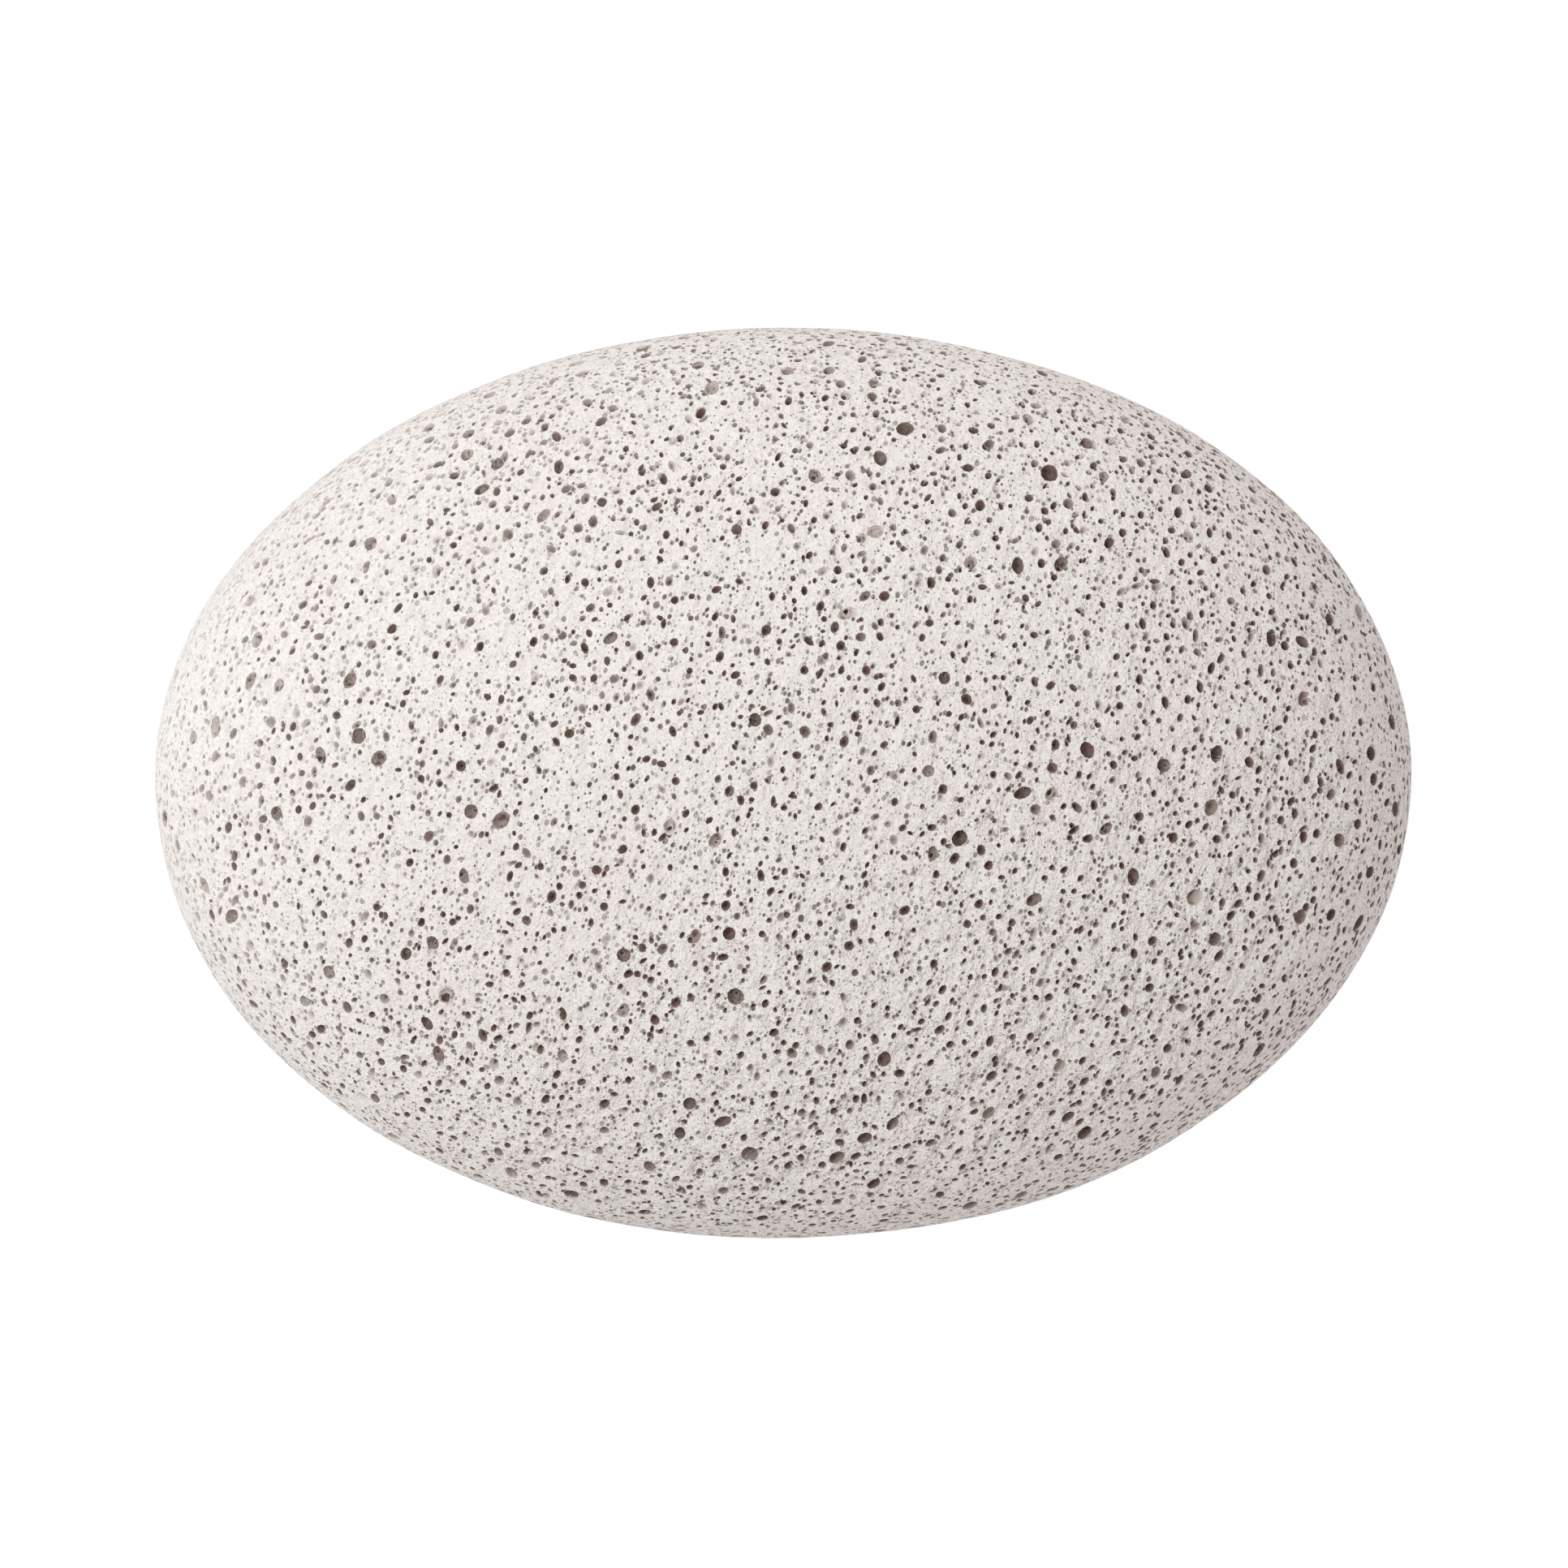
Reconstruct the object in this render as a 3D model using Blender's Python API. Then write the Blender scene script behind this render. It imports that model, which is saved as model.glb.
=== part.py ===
"""An oval pumice stone: one ground pebble of frothy rock, open pores all over it.

The stone lies on a flat worn seat at z = 0, its long axis along X and its crown up.
Lengths are in metres. The form is worked out from the driving dimensions below: a round
blank of even triangles is drawn out to the pebble, and each pore is then cut out of it.
"""

import math
import random

import bmesh
import bpy
from mathutils import Matrix, Vector, noise

MM = 0.001

# Outer form
LENGTH = 100.0 * MM
WIDTH = 72.4 * MM
CROWN_RISE = 20.0 * MM  # from the widest line up to the crown
SEAT_DROP = 18.0 * MM  # from the widest line down to the seat
UNWORN_DROP = 21.0 * MM  # how deep the underside would reach if it weren't worn flat
SEAT_BLEND = 1.2 * MM  # height over which the seat rounds up into the sides
PROFILE_POWER = 2.3  # 2 is an ellipsoid, more is a flatter face with a rounder edge

# One shoulder of the oval is a little fuller than the rest
SHOULDER_ANGLE = math.radians(34)
SHOULDER_SPREAD = math.radians(24)
SHOULDER_FULLNESS = 0.015

# Soft swells left by the grinding: (length of a swell, height)
SWELLS = ((26.0 * MM, 0.30 * MM), (9.0 * MM, 0.12 * MM))

# Pores, largest first: their sizes thin out by an exponential law
PORE_SEED = 7
PORE_COUNT = 465
PORES_ON_STONE = 9800  # all the pores down to the smallest size, which set the law
SMALLEST_PORE = 0.39 * MM
PORE_SIZE_SCALE = 0.175 * MM
MISSING_WIDEST = 8  # the law's few widest bubbles, which this stone doesn't have
PORE_GAP = 0.12 * MM  # least web of stone between two rims
PATCHES = ((11.0 * MM, 0.6), (3.5 * MM, 0.7))  # richer and poorer: (size, how much)
PATCH_DRAW = 0.6  # how much of a patch's length along the flow comes from the drawing
PORE_SIDES = 6
PORE_LEAN = math.radians(9)
PORE_STRETCH = 1.8  # the longest pore, as its length over its width
PORE_DEPTH = (0.60, 1.00)  # of its width
CUTTER_REACH = 0.35  # how far a cutter stands out of the stone, of the pore's width
RIM_WOBBLE = 0.10
FLOW_DIRECTION = Vector((math.cos(math.radians(70)), math.sin(math.radians(70)), 0))
FLOW_SPREAD = math.radians(32)
PLAIN_PATCH = 7.0 * MM  # no pore this near the middle of the seat

# Finish
PUMICE_COLOUR = (0.80, 0.76, 0.73, 1)
PUMICE_ROUGHNESS = 0.95
SHARP_ANGLE = math.radians(35)

BLANK_CUTS = 9  # cuts across each edge of an icosahedron
TURN_STEP = 1e-3  # radians between the points that give a normal
MOST_AREA = 1.3 * LENGTH * WIDTH / 4  # of surface for one steradian of directions
MOST_RICHNESS = 1 + sum(share for _, share in PATCHES)


def clear_scene():
    """Remove whatever the file holds."""
    for item in list(bpy.data.objects):
        bpy.data.objects.remove(item)


def swell_at(direction):
    """Height of the soft swells along a direction from the stone's middle."""
    spot = Vector((direction.x * LENGTH, direction.y * WIDTH, direction.z * WIDTH)) / 2
    return sum(height * noise.noise(spot / span) for span, height in SWELLS)


def shoulder_factor(direction):
    """How much fuller the oval is on this side than a true ellipse."""
    angle = math.atan2(direction.y * WIDTH, direction.x * LENGTH)
    share = math.hypot(direction.x, direction.y)
    away = (angle - SHOULDER_ANGLE) / SHOULDER_SPREAD
    return 1 + SHOULDER_FULLNESS * share * math.exp(-away * away)


def worn_flat(height):
    """Height after the underside is worn down to the seat, with a soft edge."""
    nearness = max(0.0, SEAT_BLEND - abs(height))
    return max(height, 0.0) + nearness**2 / (4 * SEAT_BLEND)


def surface_point(direction):
    """The point of the pebble that lies along a unit direction from its middle."""
    depth = CROWN_RISE if direction.z > 0 else UNWORN_DROP
    across = math.hypot(direction.x, direction.y)
    reach = across**PROFILE_POWER + abs(direction.z) ** PROFILE_POWER
    size = reach ** (-1 / PROFILE_POWER)
    plan = size * shoulder_factor(direction)
    point = Vector((
        direction.x * plan * LENGTH / 2,
        direction.y * plan * WIDTH / 2,
        direction.z * size * depth,
    ))
    point += point.normalized() * swell_at(direction)
    return Vector((point.x, point.y, worn_flat(point.z + SEAT_DROP)))


def surface_patch(direction):
    """A point of the surface, and its outward normal as long as the area it stands for."""
    sideways = direction.orthogonal().normalized()
    across = direction.cross(sideways)
    point = surface_point(direction)
    one = surface_point((direction + sideways * TURN_STEP).normalized()) - point
    other = surface_point((direction + across * TURN_STEP).normalized()) - point
    return point, one.cross(other) / TURN_STEP**2


def build_blank():
    """The pebble before its pores: a geodesic ball drawn out to the surface."""
    mesh = bmesh.new()
    bmesh.ops.create_icosphere(mesh, subdivisions=1, radius=1.0)
    bmesh.ops.subdivide_edges(mesh, edges=mesh.edges[:], cuts=BLANK_CUTS, use_grid_fill=True)
    for vert in mesh.verts:
        vert.co = surface_point(vert.co.normalized())
    return mesh


def pore_width(rank):
    """Width of the pore of this rank, counted from the widest."""
    return SMALLEST_PORE + PORE_SIZE_SCALE * math.log(PORES_ON_STONE / (rank + MISSING_WIDEST))


def random_direction(rng):
    """A direction picked evenly over the ball."""
    height = rng.uniform(-1, 1)
    turn = rng.uniform(0, math.tau)
    flat = math.sqrt(1 - height * height)
    return Vector((flat * math.cos(turn), flat * math.sin(turn), height))


def richness(point):
    """How many pores a place has for an average one, in patches drawn out along the flow."""
    spot = point - FLOW_DIRECTION * (point.dot(FLOW_DIRECTION) * PATCH_DRAW)
    return 1 + sum(share * noise.noise(spot / size) for size, share in PATCHES)


def is_free(point, width, seats):
    """Whether a pore fits here, clear of the others and of the middle of the seat."""
    if point.z < PORE_GAP and math.hypot(point.x, point.y) < PLAIN_PATCH:
        return False
    return all(
        (point - spot).length > (width + other) / 2 * PORE_STRETCH + PORE_GAP
        for spot, _, other in seats
    )


def scatter_pores():
    """Seats for the pores, each (point, normal, width), spread evenly by area in patches."""
    rng = random.Random(PORE_SEED)
    seats = []
    while len(seats) < PORE_COUNT:
        width = pore_width(len(seats))
        point, facing = surface_patch(random_direction(rng))
        wanted = rng.random() * MOST_RICHNESS * MOST_AREA < richness(point) * facing.length
        if wanted and is_free(point, width, seats):
            seats.append((point, facing.normalized(), width))
    return seats


def pore_placement(point, normal, rng):
    """Placement of a pore: its Z out of the stone, its X along the flow of the froth."""
    along = (FLOW_DIRECTION - normal * FLOW_DIRECTION.dot(normal)).normalized()
    turn = Matrix.Rotation(rng.gauss(0, FLOW_SPREAD), 3, normal)
    lean = Matrix.Rotation(rng.uniform(-PORE_LEAN, PORE_LEAN), 3, along)
    out = lean @ normal
    side = out.cross(turn @ along).normalized()
    axes = Matrix((side.cross(out), side, out)).transposed()
    return Matrix.Translation(point) @ axes.to_4x4()


def add_cutter(mesh, seat, rng):
    """Add one pore's cutter: a pit that narrows to its bottom, with a wavy rim."""
    point, normal, width = seat
    place = pore_placement(point, normal, rng)
    stretch = math.sqrt(rng.uniform(1, PORE_STRETCH))
    depth = width * rng.uniform(*PORE_DEPTH)
    reach = width * CUTTER_REACH
    pit = bmesh.ops.create_cone(
        mesh,
        cap_ends=True,
        segments=PORE_SIDES,
        radius1=0,
        radius2=(1 + reach / depth) * width / 2,
        depth=depth + reach,
    )["verts"]
    for vert in pit:
        vert.co.xy *= 1 + rng.uniform(-RIM_WOBBLE, RIM_WOBBLE)
    squeeze = Matrix.Diagonal((stretch, 1 / stretch, 1, 1))
    sink = Matrix.Translation((0, 0, (reach - depth) / 2))
    bmesh.ops.transform(mesh, matrix=place @ sink @ squeeze, verts=pit)


def build_cutters():
    """All the pore cutters as one mesh of separate closed cups."""
    mesh = bmesh.new()
    for rank, seat in enumerate(scatter_pores()):
        add_cutter(mesh, seat, random.Random(rank))
    bmesh.ops.recalc_face_normals(mesh, faces=mesh.faces[:])
    return mesh


def as_object(name, mesh):
    """Turn a bmesh into a named object of the scene."""
    data = bpy.data.meshes.new(name)
    mesh.to_mesh(data)
    mesh.free()
    data.shade_smooth()
    data.set_sharp_from_angle(angle=SHARP_ANGLE)
    item = bpy.data.objects.new(name, data)
    bpy.context.collection.objects.link(item)
    return item


def pumice_material():
    """Dry, chalky, warm grey-white rock."""
    material = bpy.data.materials.new("pumice")
    material.use_nodes = True
    shader = material.node_tree.nodes["Principled BSDF"]
    shader.inputs["Base Color"].default_value = PUMICE_COLOUR
    shader.inputs["Roughness"].default_value = PUMICE_ROUGHNESS
    shader.inputs["Metallic"].default_value = 0.0
    return material


def build_stone():
    """The whole stone, its pores cut by a Boolean that stays live on it."""
    stone = as_object("pumice_stone", build_blank())
    stone.data.materials.append(pumice_material())
    cutters = as_object("pore_cutters", build_cutters())
    cutters.hide_render = True
    cutters.display_type = "WIRE"
    cut = stone.modifiers.new("open_pores", "BOOLEAN")
    cut.operation = "DIFFERENCE"
    cut.object = cutters
    return stone


clear_scene()
build_stone()
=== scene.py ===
"""Dress the pumice stone: an oval ground pebble of frothy rock with open pores all over it.

Everything is in metres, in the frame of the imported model: the stone lies on its worn seat at
z = 0, its long axis along X and its crown up. The fine stone stands in for the plain solid. It
repeats that solid's form and its widest pores, and goes on with the same law of sizes down to
pores of well under half a millimetre. Finer ones, and the grain, are in the finishes.
"""

import logging
import math
import random
from collections.abc import Iterator
from dataclasses import dataclass, field
from enum import Enum

import bmesh
import bpy
import numpy as np
from mathutils import Matrix, Quaternion, Vector, noise
from mathutils.bvhtree import BVHTree
from mathutils.interpolate import poly_3d_calc


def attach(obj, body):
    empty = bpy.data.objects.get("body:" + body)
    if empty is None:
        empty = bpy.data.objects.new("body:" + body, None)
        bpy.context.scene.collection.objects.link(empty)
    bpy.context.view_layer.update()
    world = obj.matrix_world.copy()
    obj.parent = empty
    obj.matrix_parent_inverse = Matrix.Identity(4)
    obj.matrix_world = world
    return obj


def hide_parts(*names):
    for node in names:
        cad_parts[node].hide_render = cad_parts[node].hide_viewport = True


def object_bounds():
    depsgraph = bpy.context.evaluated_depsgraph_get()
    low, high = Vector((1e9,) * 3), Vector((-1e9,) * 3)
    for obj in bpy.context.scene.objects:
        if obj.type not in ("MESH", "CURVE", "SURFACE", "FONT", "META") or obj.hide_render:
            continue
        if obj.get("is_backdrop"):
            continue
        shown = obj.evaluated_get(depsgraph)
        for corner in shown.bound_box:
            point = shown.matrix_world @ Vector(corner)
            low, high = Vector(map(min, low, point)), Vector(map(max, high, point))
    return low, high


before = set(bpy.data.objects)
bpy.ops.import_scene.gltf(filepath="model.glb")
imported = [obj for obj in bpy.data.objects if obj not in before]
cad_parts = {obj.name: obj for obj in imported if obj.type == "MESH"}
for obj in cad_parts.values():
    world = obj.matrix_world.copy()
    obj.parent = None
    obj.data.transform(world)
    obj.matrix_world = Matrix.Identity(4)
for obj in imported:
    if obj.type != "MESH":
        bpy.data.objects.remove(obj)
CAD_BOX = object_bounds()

LOG = logging.getLogger("pumice_stone")

MM = 0.001
STONE_NODE = "pumice_stone"
FLOW_ANGLE = math.radians(70)  # the froth was drawn out along this direction, from +X
LIT_SIDE = (-0.90, 0.43, 0.0)  # towards the key light's side: pores that face it are painted paler, as painted light
CHALK_ROUGHNESS = 0.95
CHALK_SHINE = 0.2

Colour = tuple[float, float, float, float]
Ramp = tuple[float, float, float, float]  # where a step starts and ends, and what it gives there


class Slot(Enum):
    """Material slots of the fine stone, by their place on the mesh."""

    SKIN = 0
    PORE = 1


class PoreKind(Enum):
    """What sort of opening a pore is."""

    BUBBLE = "a bubble of its own"
    SCOOP = "a shallow scoop, which may run into others"
    INNER = "a deeper bubble seen through the floor of a wide one"


class PoreMark(Enum):
    """Names of the values that the pores carry for their finish."""

    TONE = "pore_tone"
    SUNK = "pore_sunk"


# --------------------------------------------------------------------------- form


@dataclass
class PebbleForm:
    """The pebble's outer form before its pores, the same as the plain solid's.

    Attributes:
        length: Size along X.
        width: Size along Y.
        crown_rise: Height from the widest line up to the crown.
        seat_drop: Height from the widest line down to the seat.
        unworn_drop: How deep the underside would reach if it weren't worn flat.
        seat_blend: Height over which the seat rounds up into the sides.
        profile_power: 2 is an ellipsoid, more is a flatter face with a rounder edge.
        shoulder_angle: Where the oval is a little fuller, from +X.
        shoulder_spread: How far the fuller shoulder reaches to either side.
        shoulder_fullness: How much fuller it is, as a share of the radius.
        swells: Soft swells left by the grinding, each (length, height).
        blank_cuts: Cuts across each edge of the icosahedron that the blank starts from.
        turn_step: Radians between the points that give a normal.
        fullest: The most surface that a steradian takes in, of what it takes in at the crown.
    """

    length: float = 100.0 * MM
    width: float = 72.4 * MM
    crown_rise: float = 20.0 * MM
    seat_drop: float = 18.0 * MM
    unworn_drop: float = 21.0 * MM
    seat_blend: float = 1.2 * MM
    profile_power: float = 2.3
    shoulder_angle: float = math.radians(34)
    shoulder_spread: float = math.radians(24)
    shoulder_fullness: float = 0.015
    swells: tuple[tuple[float, float], ...] = ((26.0 * MM, 0.30 * MM), (9.0 * MM, 0.12 * MM))
    blank_cuts: int = 21
    turn_step: float = 1e-3
    fullest: float = 1.3

    @property
    def most_area(self) -> float:
        """Surface for one steradian of directions, where there is most of it."""
        return self.fullest * self.length * self.width / 4

    def swell_at(self, direction: Vector) -> float:
        """Height of the soft swells along a direction.

        Args:
            direction: A unit direction from the stone's middle.

        Returns:
            The height in metres, to either side of zero.
        """
        x, y, z = direction
        spot = Vector((x * self.length, y * self.width, z * self.width)) / 2
        return sum(height * noise.noise(spot / span) for span, height in self.swells)

    def shoulder_factor(self, direction: Vector) -> float:
        """How much fuller the oval is on this side than a true ellipse.

        Args:
            direction: A unit direction from the stone's middle.

        Returns:
            A factor on the plan, 1 away from the shoulder.
        """
        angle = math.atan2(direction.y * self.width, direction.x * self.length)
        share = math.hypot(direction.x, direction.y)
        away = (angle - self.shoulder_angle) / self.shoulder_spread
        return 1 + self.shoulder_fullness * share * math.exp(-away * away)

    def worn_flat(self, height: float) -> float:
        """Height after the underside is worn down to the seat, with a soft edge.

        Args:
            height: Height above the seat before the wear.

        Returns:
            Height above the seat, never below it.
        """
        nearness = max(0.0, self.seat_blend - abs(height))
        return max(height, 0.0) + nearness**2 / (4 * self.seat_blend)

    def surface_point(self, direction: Vector) -> Vector:
        """Find the point of the pebble that lies along a direction.

        Args:
            direction: A unit direction from the stone's middle.

        Returns:
            The point on the surface.
        """
        depth = self.crown_rise if direction.z > 0 else self.unworn_drop
        across = math.hypot(direction.x, direction.y)
        reach = across**self.profile_power + abs(direction.z) ** self.profile_power
        size = reach ** (-1 / self.profile_power)
        plan = size * self.shoulder_factor(direction)
        point = Vector((
            direction.x * plan * self.length / 2,
            direction.y * plan * self.width / 2,
            direction.z * size * depth,
        ))
        point += point.normalized() * self.swell_at(direction)
        return Vector((point.x, point.y, self.worn_flat(point.z + self.seat_drop)))

    def surface_patch(self, direction: Vector) -> tuple[Vector, Vector]:
        """Find a point of the surface and which way it faces.

        Args:
            direction: A unit direction from the stone's middle.

        Returns:
            The point, and the outward normal, as long as the area it stands for.
        """
        sideways = direction.orthogonal().normalized()
        across = direction.cross(sideways)
        point = self.surface_point(direction)
        one = self.surface_point((direction + sideways * self.turn_step).normalized()) - point
        other = self.surface_point((direction + across * self.turn_step).normalized()) - point
        return point, one.cross(other) / self.turn_step**2

    def blank(self) -> bmesh.types.BMesh:
        """Draw a geodesic ball out to the pebble's surface.

        Returns:
            The pebble before its pores, as a mesh of even triangles.
        """
        mesh = bmesh.new()
        bmesh.ops.create_icosphere(mesh, subdivisions=1, radius=1.0)
        bmesh.ops.subdivide_edges(mesh, edges=mesh.edges[:], cuts=self.blank_cuts, use_grid_fill=True)
        for vert in mesh.verts:
            vert.co = self.surface_point(vert.co.normalized())
        bmesh.ops.recalc_face_normals(mesh, faces=mesh.faces[:])
        self.fit(mesh, CAD_BOX)
        return mesh

    def fit(self, mesh: bmesh.types.BMesh, box: tuple[Vector, Vector]) -> None:
        """Draw the blank in by a hair, so that it fills the plain solid's box and no more.

        Args:
            mesh: The blank.
            box: The lowest and highest corner of the plain solid.
        """
        low, high = (
            [pick(vert.co[i] for vert in mesh.verts) for i in range(3)] for pick in (min, max)
        )
        for vert in mesh.verts:
            vert.co = [
                box[0][i] + (vert.co[i] - low[i]) * (box[1][i] - box[0][i]) / (high[i] - low[i])
                for i in range(3)
            ]


# --------------------------------------------------------------------------- pores


@dataclass(frozen=True)
class PoreSeat:
    """Where one pore opens, which way it faces, how wide it is and what sort it is."""

    rank: int
    point: Vector
    normal: Vector
    width: float
    kind: PoreKind


@dataclass
class PoreField:
    """The places and sizes of the pores, widest first.

    The widest ones are the plain solid's own. The law of sizes and the stream of random
    numbers are the same, so this field goes on where that one stops.

    Attributes:
        form: The pebble that the pores open on.
        count: How many pores are cut.
        solid_count: How many of them the plain solid has.
        seed: Seed of the places.
        on_stone: All the pores down to the smallest size, which set the law.
        smallest: Width of the smallest pore of the law.
        size_scale: How fast the sizes thin out.
        missing_widest: The law's few widest bubbles, which this stone doesn't have.
        gap: Least web of stone between two of the widest pores.
        fine_gap: The same between two others.
        stretch: The longest pore, as its length over its width.
        fine_stretch: How far apart the others keep, of their width.
        patches: Richer and poorer patches, each (size, how much).
        patch_draw: How much of a patch's length along the flow comes from the drawing.
        plain_patch: No pore of the plain solid is this near the middle of the seat.
        hidden_height: Below this height only pores wider than hidden_width are cut.
        hidden_width: The width that goes with it.
        merging: One pore in this many is a scoop, which may run into the others.
        inner_host: Only pores wider than this have a deeper bubble in their floor.
        inner_share: How many of those have one.
        inner_width: Its width, of its host's.
        inner_off: How far it stands off its host's middle, of its host's width.
        inner_sink: How far below the surface it starts, of its host's width.
        cell: Size of the cells that neighbours are looked up in.
    """

    form: PebbleForm
    count: int = 8600
    solid_count: int = 465
    seed: int = 7
    on_stone: int = 9800
    smallest: float = 0.39 * MM
    size_scale: float = 0.175 * MM
    missing_widest: int = 8
    gap: float = 0.12 * MM
    fine_gap: float = 0.05 * MM
    stretch: float = 1.8
    fine_stretch: float = 1.25
    patches: tuple[tuple[float, float], ...] = ((11.0 * MM, 0.6), (3.5 * MM, 0.7))
    patch_draw: float = 0.6
    plain_patch: float = 7.0 * MM
    hidden_height: float = 6.0 * MM
    hidden_width: float = 0.62 * MM
    merging: int = 4
    inner_host: float = 0.98 * MM
    inner_share: float = 0.7
    inner_width: tuple[float, float] = (0.32, 0.55)
    inner_off: tuple[float, float] = (0.06, 0.24)
    inner_sink: float = 0.30
    cell: float = 3.2 * MM

    def width_of(self, rank: int) -> float:
        """Width of the pore of this rank, counted from the widest."""
        rarity = self.on_stone / (rank + self.missing_widest)
        return self.smallest + self.size_scale * math.log(rarity)

    def richness(self, point: Vector) -> float:
        """How many pores a place has for an average one, in patches drawn along the flow."""
        flow = Vector((math.cos(FLOW_ANGLE), math.sin(FLOW_ANGLE), 0))
        spot = point - flow * (point.dot(flow) * self.patch_draw)
        return 1 + sum(share * noise.noise(spot / size) for size, share in self.patches)

    def random_direction(self, rng: random.Random) -> Vector:
        """Pick a direction evenly over the ball.

        Args:
            rng: The stream of random numbers.

        Returns:
            A unit direction.
        """
        height = rng.uniform(-1, 1)
        turn = rng.uniform(0, math.tau)
        flat = math.sqrt(1 - height * height)
        return Vector((flat * math.cos(turn), flat * math.sin(turn), height))

    def cell_of(self, point: Vector) -> tuple[int, int, int]:
        """The look-up cell that a point is in."""
        return tuple(math.floor(part / self.cell) for part in point)

    def neighbours(self, point: Vector, cells: dict) -> Iterator[PoreSeat]:
        """Go through the pores near a point.

        Args:
            point: A point of the surface.
            cells: The pores so far, by look-up cell.

        Yields:
            Each pore in the cells round the point's own.
        """
        x, y, z = self.cell_of(point)
        for dx in (-1, 0, 1):
            for dy in (-1, 0, 1):
                for dz in (-1, 0, 1):
                    yield from cells.get((x + dx, y + dy, z + dz), ())

    def is_free(self, point: Vector, width: float, rank: int, cells: dict) -> bool:
        """Tell whether a pore fits here, clear of its own layer's pores.

        Args:
            point: Where it would open.
            width: How wide it would be.
            rank: Its rank, counted from the widest.
            cells: Its layer's pores so far, by look-up cell.

        Returns:
            True if it fits.
        """
        of_solid = rank < self.solid_count
        if of_solid and point.z < self.gap and math.hypot(point.x, point.y) < self.plain_patch:
            return False
        if point.z < self.hidden_height and width < self.hidden_width:
            return False
        stretch = self.stretch if of_solid else self.fine_stretch
        gap = self.gap if of_solid else self.fine_gap
        return all(
            (point - near.point).length > (width + near.width) / 2 * stretch + gap
            for near in self.neighbours(point, cells)
        )

    def layers(self) -> tuple[list[PoreSeat], list[PoreSeat]]:
        """Scatter the pores evenly by area, in richer and poorer patches.

        Returns:
            Two layers of pores. No two in one layer meet, but those of the second, which
            are scoops, may open into those of the first.
        """
        rng = random.Random(self.seed)
        layers: tuple[list[PoreSeat], list[PoreSeat]] = ([], [])
        cells: tuple[dict, dict] = ({}, {})
        most_richness = 1 + sum(share for _, share in self.patches)
        rank = 0
        while rank < self.count:
            width = self.width_of(rank)
            layer = 1 if rank >= self.solid_count and rank % self.merging == 0 else 0
            point, facing = self.form.surface_patch(self.random_direction(rng))
            limit = rng.random() * most_richness * self.form.most_area
            wanted = limit < self.richness(point) * facing.length
            if wanted and self.is_free(point, width, rank, cells[layer]):
                kind = PoreKind.SCOOP if layer else PoreKind.BUBBLE
                seat = PoreSeat(rank, point, facing.normalized(), width, kind)
                layers[layer].append(seat)
                cells[layer].setdefault(self.cell_of(point), []).append(seat)
                rank += 1
        layers[1].extend(self.inner_pores(layers[0]))
        return layers

    def inner_pores(self, hosts: list[PoreSeat]) -> Iterator[PoreSeat]:
        """Go through the deeper bubbles that show in the floors of the widest pores.

        Args:
            hosts: The first layer's pores.

        Yields:
            Each of them, off to one side of its host and sunk into it.
        """
        rng = random.Random(self.seed)
        for host in hosts:
            if host.width > self.inner_host and rng.random() < self.inner_share:
                aside = host.normal.orthogonal().normalized()
                aside.rotate(Quaternion(host.normal, rng.uniform(0, math.tau)))
                point = host.point + aside * (host.width * rng.uniform(*self.inner_off))
                point -= host.normal * (host.width * self.inner_sink)
                width = host.width * rng.uniform(*self.inner_width)
                yield PoreSeat(self.count + host.rank, point, host.normal, width, PoreKind.INNER)


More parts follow.
